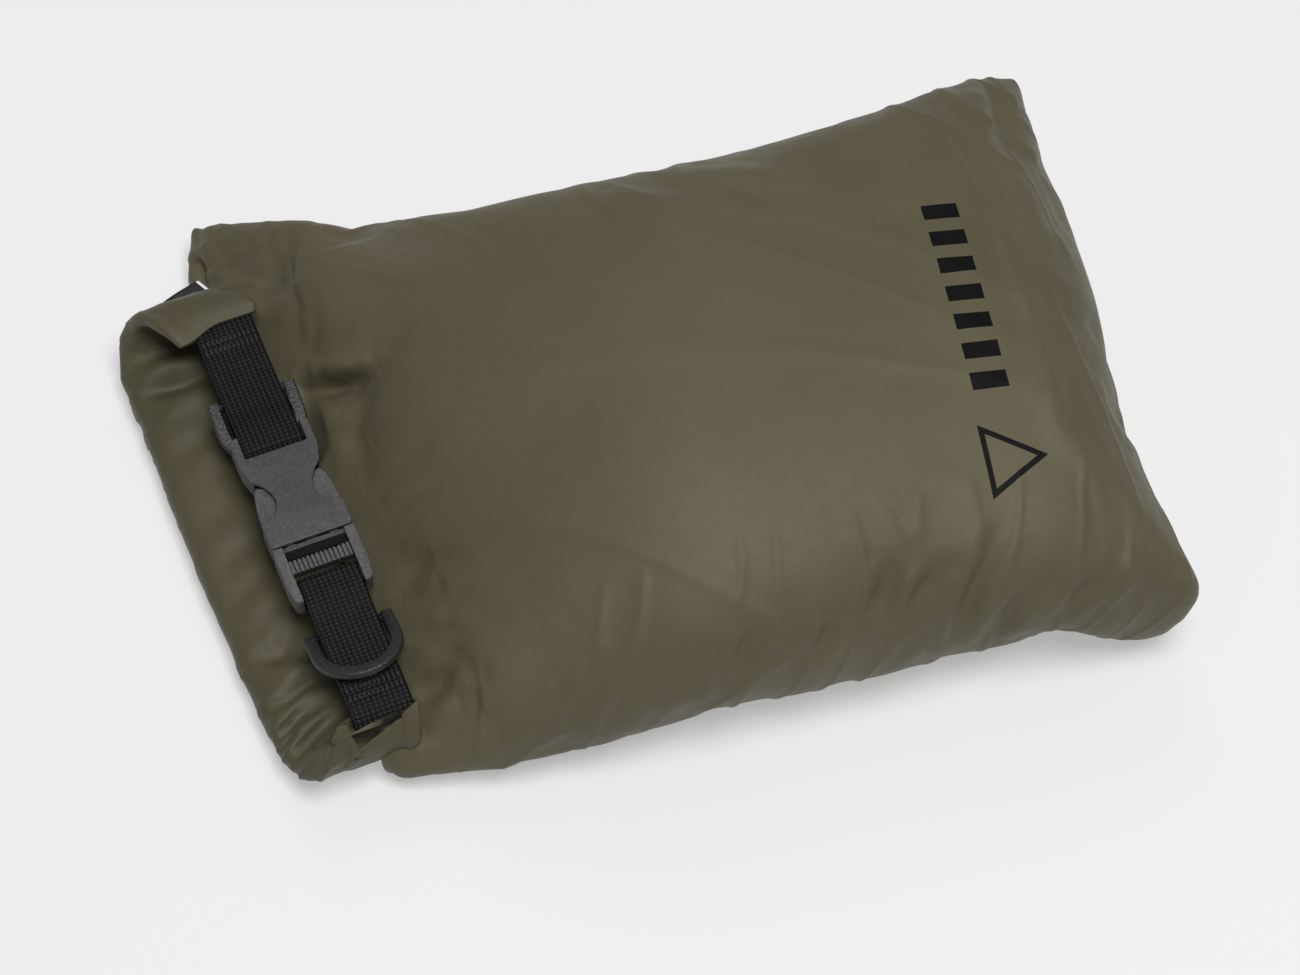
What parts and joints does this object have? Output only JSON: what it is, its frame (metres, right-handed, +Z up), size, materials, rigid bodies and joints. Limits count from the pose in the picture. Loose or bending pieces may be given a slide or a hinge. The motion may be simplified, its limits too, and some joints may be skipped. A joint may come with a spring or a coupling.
{
  "type": "roll-top stuff sack",
  "caption": "Packed roll-top stuff sack of coated olive cloth, its mouth rolled up and joined over the roll by webbing with a side-release buckle and D-rings.",
  "frame": {"origin": "under the middle of the sack's box, on the surface that it lies on", "axes": "+X from the rolled mouth to the base, +Y across the sack from the plug's side to the socket's side, +Z up out of the face that carries the strap"},
  "size_m": [0.3114, 0.2336, 0.091],
  "materials": {
    "cloth": "coated nylon, soft sheen",
    "base_cloth": "coated nylon, soft sheen",
    "filling": "soft packed load",
    "seam_tape": "smooth tape",
    "stiffener": "satin strip",
    "webbing": "woven polyamide",
    "thread": "bonded thread",
    "buckle_plastic": "fine moulded grain",
    "ring_plastic": "satin moulded",
    "label": "smooth woven tape"
  },
  "bodies": {
    "sack": {"front_panel": "cloth", "back_panel": "cloth", "base_panel": "base_cloth", "packed_filling": "filling", "side_seam_tape_upper": "seam_tape", "side_seam_tape_lower": "seam_tape", "base_seam_tape": "seam_tape", "rolled_mouth": "cloth", "mouth_stiffener": "stiffener", "roll_end_upper": "cloth", "webbing_upper": "webbing", "bartack_upper": "thread", "buckle_socket": "buckle_plastic", "care_label": "label"},
    "plug": {"buckle_plug": "buckle_plastic", "webbing_lower": "webbing", "bartack_lower": "thread", "roll_end_lower": "cloth"},
    "prong_left": {"prong_left": "buckle_plastic"},
    "prong_right": {"prong_right": "buckle_plastic"},
    "ring_upper": {"ring_upper": "ring_plastic"},
    "ring_lower": {"ring_lower": "ring_plastic"}
  },
  "joints": [
    {"name": "plug_release", "type": "slide", "parent": "sack", "child": "plug", "axis": [0.1219, -0.9925, 0], "range_m": [0, 0.025], "deforming": ["prong_left", "prong_right"]},
    {"name": "prong_left_squeeze", "type": "hinge", "parent": "plug", "child": "prong_left", "pos_m": [-0.11804, -0.02419, 0.038], "axis": [0, 0, -1], "range_deg": [0, 8], "stiffness_Nm_per_rad": 0.5},
    {"name": "prong_right_squeeze", "type": "hinge", "parent": "plug", "child": "prong_right", "pos_m": [-0.10375, -0.02244, 0.038], "axis": [0, 0, 1], "range_deg": [0, 8], "stiffness_Nm_per_rad": 0.5},
    {"name": "ring_upper_swing", "type": "hinge", "parent": "sack", "child": "ring_upper", "pos_m": [-0.11817, 0.03594, 0.0355], "axis": [0.9925, 0.1219, 0], "range_deg": [0, 30]},
    {"name": "ring_lower_swing", "type": "hinge", "parent": "plug", "child": "ring_lower", "pos_m": [-0.10696, -0.05538, 0.0355], "axis": [-0.9925, -0.1219, 0], "range_deg": [0, 110]}
  ],
  "couplings": [
    {"joint": "prong_right_squeeze", "follows": "prong_left_squeeze", "ratio": 1}
  ]
}
